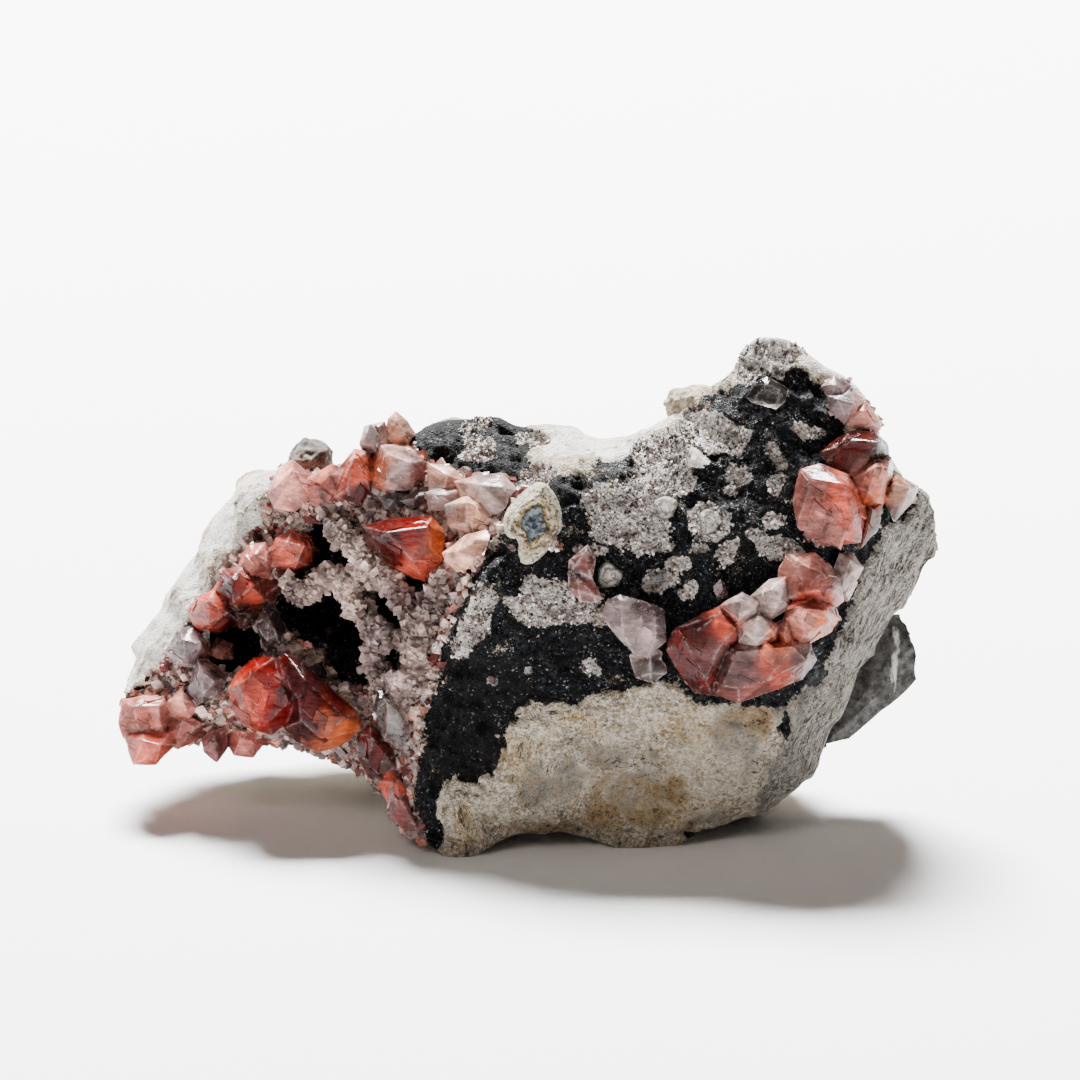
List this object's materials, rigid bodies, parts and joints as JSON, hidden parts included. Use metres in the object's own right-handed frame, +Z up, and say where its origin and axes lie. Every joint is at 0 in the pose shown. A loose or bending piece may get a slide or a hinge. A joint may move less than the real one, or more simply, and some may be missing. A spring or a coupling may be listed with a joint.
{
  "type": "rhodochrosite on matrix",
  "caption": "Free-standing mineral specimen: red and pink rhodochrosite crystals along the rims of a two-lobed black and cream rock, with a druse-filled hollow.",
  "frame": {"origin": "on the resting plane, under the middle of the specimen's bounding box", "axes": "+X along the length, to the right as the show face is seen; -Y out of the show face; +Z up"},
  "size_m": [0.0828, 0.0497, 0.0493],
  "materials": {
    "rock": "rough broken rock, black oxide coat on the show face",
    "druse": "sparkling crust of small crystals",
    "nodule": "matt, in concentric bands",
    "red_crystal": "glassy translucent red",
    "pink_crystal": "glassy translucent pink",
    "pale_crystal": "pearly translucent plate",
    "clear_crystal": "clear, polished"
  },
  "bodies": {
    "root": {"matrix": "rock", "vug_druse": "druse", "ring_nodule": "nodule", "upper_rim_crystals": "red_crystal", "lower_rim_crystals": "red_crystal", "top_left_crystals": "red_crystal", "amber_crystal": "red_crystal", "left_rim_crystals": "red_crystal", "red_gem_crystals": "red_crystal", "lower_edge_crystals": "red_crystal", "dark_leaf_crystals": "red_crystal", "salmon_plate_crystal": "pink_crystal", "pale_peach_crystals": "pink_crystal", "curved_plate_crystal": "pink_crystal", "left_corner_crystals": "pink_crystal", "lower_left_crystals": "pink_crystal", "lilac_rim_crystals": "pink_crystal", "lilac_left_crystals": "pink_crystal", "pale_plate_crystals": "pale_crystal", "grey_oval_crystal": "pale_crystal", "outlined_plate_crystal": "clear_crystal", "pointed_clear_crystal": "clear_crystal"}
  },
  "joints": []
}
